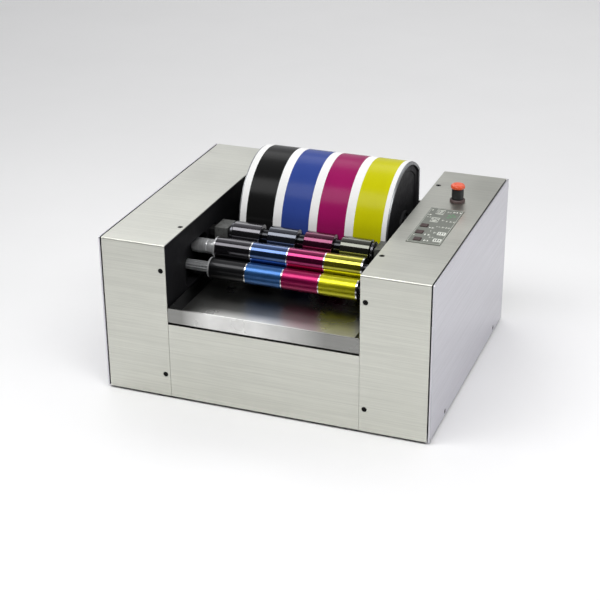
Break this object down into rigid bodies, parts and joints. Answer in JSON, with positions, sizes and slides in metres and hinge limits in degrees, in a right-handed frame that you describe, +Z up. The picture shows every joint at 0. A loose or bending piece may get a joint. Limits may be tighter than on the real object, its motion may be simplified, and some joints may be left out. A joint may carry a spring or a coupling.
{
  "type": "offset ink proofer",
  "caption": "Desktop offset ink proofer: paper drum, segmented printing roller and two ink rollers over a drip tray, between two stainless side cabinets.",
  "frame": {"origin": "on the table under the middle of the machine's outline", "axes": "+X to the operator's right along the rollers, +Y from the operator to the rear, +Z up"},
  "size_m": [0.525, 0.446, 0.3143],
  "materials": {
    "stainless": "brushed stainless sheet, satin",
    "black_paint": "black satin paint",
    "zinc_steel": "machined and zinc-plated steel",
    "cast_iron": "grey hammered casting",
    "cast_aluminium": "machined cast aluminium",
    "chrome": "polished chrome",
    "black_oxide": "black oxide",
    "foot_rubber": "matte black rubber",
    "belt_rubber": "black reinforced rubber",
    "inked_steel": "polished steel under a film of wet ink",
    "ink_black": "wet black ink",
    "ink_blue": "wet blue ink",
    "ink_magenta": "wet magenta ink",
    "ink_yellow": "wet yellow ink",
    "paper": "white proofing paper",
    "motor_paint": "dark grey enamel",
    "panel_film": "matte olive-grey overlay film",
    "display_lens": "pale display lens",
    "red_key": "dark red keycap",
    "pale_key": "pale keycap",
    "signal_red": "orange-red plastic",
    "black_plastic": "black moulded plastic",
    "circuit_board": "green solder mask"
  },
  "bodies": {
    "root": {"base_plate": "zinc_steel", "left_frame": "black_paint", "right_frame": "black_paint", "rear_panel": "stainless", "front_panel": "stainless", "left_cover": "stainless", "right_cover": "stainless", "left_side_plate": "stainless", "right_side_plate": "stainless", "foot_1": "foot_rubber", "foot_2": "foot_rubber", "foot_3": "foot_rubber", "foot_4": "foot_rubber", "front_tie_bar": "zinc_steel", "rear_tie_bar": "zinc_steel", "left_front_screw_1": "black_oxide", "left_front_screw_2": "black_oxide", "left_top_screw_1": "black_oxide", "left_top_screw_2": "black_oxide", "right_front_screw_1": "black_oxide", "right_front_screw_2": "black_oxide", "right_top_screw_1": "black_oxide", "right_top_screw_2": "black_oxide", "drum_belt": "belt_rubber", "drum_motor": "motor_paint", "roller_motor": "motor_paint", "impression_solenoid": "motor_paint", "control_panel": "panel_film", "display_window": "display_lens", "controller_board": "circuit_board", "e_stop_collar": "black_plastic", "power_inlet": "black_plastic"},
    "tray": {"drip_tray": "stainless"},
    "drum": {"drum_shell": "cast_aluminium", "drum_core": "cast_iron", "proof_paper": "paper", "drum_pulley": "cast_aluminium"},
    "gripper": {"gripper_bar": "zinc_steel"},
    "drum_motor_rotor": {"drum_motor_pulley": "zinc_steel"},
    "impression_carriage": {"left_slide_block": "cast_iron", "right_slide_block": "cast_iron", "slide_tie_rod": "zinc_steel", "solenoid_plunger": "zinc_steel"},
    "print_roller": {"print_roller_core": "inked_steel", "print_sleeve_black": "ink_black", "print_sleeve_blue": "ink_blue", "print_sleeve_magenta": "ink_magenta", "print_sleeve_yellow": "ink_yellow"},
    "upper_roller": {"upper_ink_roller": "inked_steel"},
    "front_roller": {"front_ink_roller": "inked_steel", "roller_pinion": "chrome"},
    "roller_drive": {"drive_gear": "zinc_steel"},
    "red_button_1": {"red_key_1": "red_key"},
    "red_button_2": {"red_key_2": "red_key"},
    "red_button_3": {"red_key_3": "red_key"},
    "pale_button_1": {"pale_key_1": "pale_key"},
    "pale_button_2": {"pale_key_2": "pale_key"},
    "e_stop_plunger": {"e_stop_stem": "black_plastic"},
    "e_stop_head": {"e_stop_cap": "signal_red"},
    "power_rocker": {"power_switch": "black_plastic"}
  },
  "joints": [
    {"name": "drum_spin", "type": "hinge", "parent": "root", "child": "drum", "pos_m": [0, 0.083, 0.2109], "axis": [1, 0, 0], "continuous": true},
    {"name": "gripper_open", "type": "hinge", "parent": "drum", "child": "gripper", "pos_m": [0, 0.1606, 0.2509], "axis": [-1, 0, 0], "range_deg": [0, 40], "stiffness_Nm_per_rad": 0.6},
    {"name": "drum_motor_spin", "type": "hinge", "parent": "root", "child": "drum_motor_rotor", "pos_m": [0, 0.083, 0.085], "axis": [1, 0, 0], "continuous": true},
    {"name": "impression_throw", "type": "slide", "parent": "root", "child": "impression_carriage", "axis": [0, 1, 0], "range_m": [0, 0.0047], "stiffness_N_per_m": 2000},
    {"name": "print_roller_spin", "type": "hinge", "parent": "impression_carriage", "child": "print_roller", "pos_m": [0, -0.04536, 0.21426], "axis": [1, 0, 0], "continuous": true},
    {"name": "upper_roller_spin", "type": "hinge", "parent": "root", "child": "upper_roller", "pos_m": [0, -0.08046, 0.20107], "axis": [1, 0, 0], "continuous": true},
    {"name": "front_roller_spin", "type": "hinge", "parent": "root", "child": "front_roller", "pos_m": [0, -0.10502, 0.17684], "axis": [1, 0, 0], "continuous": true},
    {"name": "roller_drive_spin", "type": "hinge", "parent": "root", "child": "roller_drive", "pos_m": [0, -0.10996, 0.15361], "axis": [1, 0, 0], "continuous": true},
    {"name": "tray_slide", "type": "slide", "parent": "root", "child": "tray", "axis": [0, -1, 0], "range_m": [0, 0.18]},
    {"name": "e_stop_press", "type": "slide", "parent": "root", "child": "e_stop_plunger", "axis": [0, 0, -1], "range_m": [0, 0.004], "stiffness_N_per_m": 1500},
    {"name": "e_stop_twist", "type": "hinge", "parent": "e_stop_plunger", "child": "e_stop_head", "pos_m": [0.209, 0.096, 0.284], "axis": [0, 0, 1], "range_deg": [-45, 0], "stiffness_Nm_per_rad": 0.05},
    {"name": "power_rock", "type": "hinge", "parent": "root", "child": "power_rocker", "pos_m": [0.212, 0.2147, 0.1], "axis": [-1, 0, 0], "range_deg": [0, 20]},
    {"name": "red_key_1_press", "type": "slide", "parent": "root", "child": "red_button_1", "axis": [0, 0, -1], "range_m": [0, 0.0006], "stiffness_N_per_m": 1200},
    {"name": "red_key_2_press", "type": "slide", "parent": "root", "child": "red_button_2", "axis": [0, 0, -1], "range_m": [0, 0.0006], "stiffness_N_per_m": 1200},
    {"name": "red_key_3_press", "type": "slide", "parent": "root", "child": "red_button_3", "axis": [0, 0, -1], "range_m": [0, 0.0006], "stiffness_N_per_m": 1200},
    {"name": "pale_key_1_press", "type": "slide", "parent": "root", "child": "pale_button_1", "axis": [0, 0, -1], "range_m": [0, 0.0006], "stiffness_N_per_m": 1200},
    {"name": "pale_key_2_press", "type": "slide", "parent": "root", "child": "pale_button_2", "axis": [0, 0, -1], "range_m": [0, 0.0006], "stiffness_N_per_m": 1200}
  ],
  "couplings": [
    {"joint": "drum_motor_spin", "follows": "drum_spin", "ratio": 3},
    {"joint": "print_roller_spin", "follows": "upper_roller_spin", "ratio": -0.875},
    {"joint": "front_roller_spin", "follows": "upper_roller_spin", "ratio": -1.0294},
    {"joint": "roller_drive_spin", "follows": "upper_roller_spin", "ratio": 0.47511}
  ]
}
